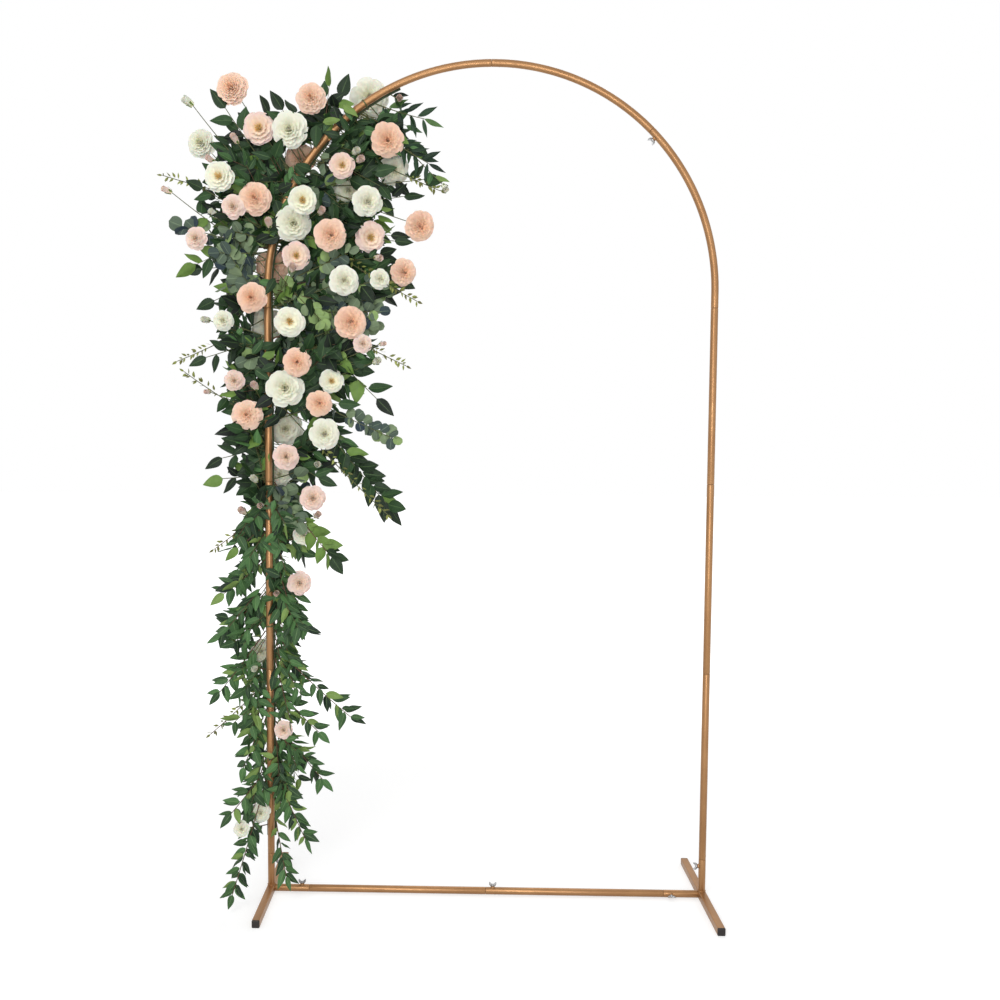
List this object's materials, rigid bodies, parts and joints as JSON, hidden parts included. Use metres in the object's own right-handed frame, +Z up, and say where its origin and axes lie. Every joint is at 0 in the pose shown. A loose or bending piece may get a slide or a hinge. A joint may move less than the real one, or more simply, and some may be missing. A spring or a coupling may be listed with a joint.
{
  "type": "wedding arch",
  "caption": "Freestanding round-topped tube arch on two square foot bars with a low crossbar, wing screws at its joints and an artificial rose swag on the left shoulder.",
  "frame": {"origin": "on the floor, midway between the two posts, in the plane of the arch", "axes": "+Z up, the front with the swag faces -Y, +X to the right seen from the front"},
  "size_m": [1.4836, 0.406, 2.2335],
  "materials": {
    "arch_paint": "semi-gloss bronze-gold paint",
    "cap_plastic": "matt",
    "screw_steel": "zinc plated, dull",
    "peach_silk": "matt",
    "blush_silk": "matt",
    "white_silk": "matt",
    "bud_silk": "matt",
    "stem_plastic": "matt",
    "tie_wire": "matt",
    "rose_leaf_fabric": "satin",
    "eucalyptus_fabric": "matt",
    "willow_fabric": "matt",
    "vine_fabric": "matt",
    "twig_fabric": "matt"
  },
  "bodies": {
    "root": {"blush_roses": "blush_silk", "crossbar_left": "arch_paint", "crossbar_right": "arch_paint", "eucalyptus_leaves": "eucalyptus_fabric", "flower_stems": "stem_plastic", "garland_strands": "stem_plastic", "hoop_left_lower": "arch_paint", "hoop_left_upper": "arch_paint", "hoop_right_lower": "arch_paint", "hoop_right_upper": "arch_paint", "leaf_stems": "stem_plastic", "left_cross_screw": "screw_steel", "left_foot_bar": "arch_paint", "left_front_foot_cap": "cap_plastic", "left_hoop_screw": "screw_steel", "left_lower_post": "arch_paint", "left_middle_post": "arch_paint", "left_post_screw": "screw_steel", "left_rear_foot_cap": "cap_plastic", "left_upper_post": "arch_paint", "middle_cross_screw": "screw_steel", "peach_roses": "peach_silk", "right_cross_screw": "screw_steel", "right_foot_bar": "arch_paint", "right_front_foot_cap": "cap_plastic", "right_hoop_screw": "screw_steel", "right_lower_post": "arch_paint", "right_middle_post": "arch_paint", "right_post_screw": "screw_steel", "right_rear_foot_cap": "cap_plastic", "right_upper_post": "arch_paint", "rose_buds": "bud_silk", "rose_leaves": "rose_leaf_fabric", "swag_ties": "tie_wire", "top_hoop_screw": "screw_steel", "twig_leaves": "twig_fabric", "vine_leaves": "vine_fabric", "white_roses": "white_silk", "willow_leaves": "willow_fabric"}
  },
  "joints": []
}
